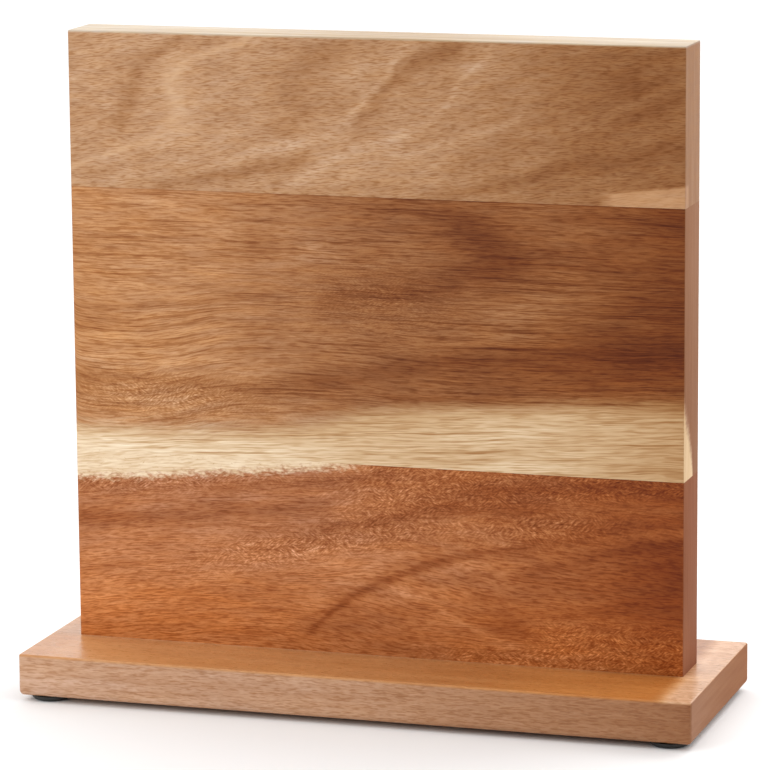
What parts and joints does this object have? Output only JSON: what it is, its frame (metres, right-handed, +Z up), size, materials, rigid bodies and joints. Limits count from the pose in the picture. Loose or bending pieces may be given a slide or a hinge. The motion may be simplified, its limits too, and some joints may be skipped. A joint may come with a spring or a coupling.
{
  "type": "magnetic knife block",
  "caption": "Magnetic knife block: an upright laminated wood panel that holds knife blades on both faces, standing on a wood base board with rubber feet.",
  "frame": {"origin": "on the floor, under the centre of the base board", "axes": "+Z up, +X along the length of the upright panel, -Y towards the front face"},
  "size_m": [0.3, 0.106, 0.289],
  "materials": {
    "top_stave_wood": "satin",
    "middle_stave_wood": "satin",
    "bottom_stave_wood": "satin",
    "base_wood": "satin",
    "foot_rubber": "matte",
    "screw_steel": "satin",
    "keeper_steel": "satin",
    "magnet_ferrite": "matte"
  },
  "bodies": {
    "root": {"front_top_stave": "top_stave_wood", "front_middle_stave": "middle_stave_wood", "front_bottom_stave": "bottom_stave_wood", "front_top_keeper": "keeper_steel", "front_top_magnet_1": "magnet_ferrite", "front_top_magnet_2": "magnet_ferrite", "front_top_magnet_3": "magnet_ferrite", "front_top_magnet_4": "magnet_ferrite", "front_top_magnet_5": "magnet_ferrite", "front_middle_keeper": "keeper_steel", "front_middle_magnet_1": "magnet_ferrite", "front_middle_magnet_2": "magnet_ferrite", "front_middle_magnet_3": "magnet_ferrite", "front_middle_magnet_4": "magnet_ferrite", "front_middle_magnet_5": "magnet_ferrite", "back_top_stave": "top_stave_wood", "back_middle_stave": "middle_stave_wood", "back_bottom_stave": "bottom_stave_wood", "back_top_keeper": "keeper_steel", "back_top_magnet_1": "magnet_ferrite", "back_top_magnet_2": "magnet_ferrite", "back_top_magnet_3": "magnet_ferrite", "back_top_magnet_4": "magnet_ferrite", "back_top_magnet_5": "magnet_ferrite", "back_middle_keeper": "keeper_steel", "back_middle_magnet_1": "magnet_ferrite", "back_middle_magnet_2": "magnet_ferrite", "back_middle_magnet_3": "magnet_ferrite", "back_middle_magnet_4": "magnet_ferrite", "back_middle_magnet_5": "magnet_ferrite", "base_board": "base_wood", "base_screw_front_left": "screw_steel", "foot_front_left": "foot_rubber", "base_screw_front_right": "screw_steel", "foot_front_right": "foot_rubber", "base_screw_back_left": "screw_steel", "foot_back_left": "foot_rubber", "base_screw_back_right": "screw_steel", "foot_back_right": "foot_rubber"}
  },
  "joints": []
}
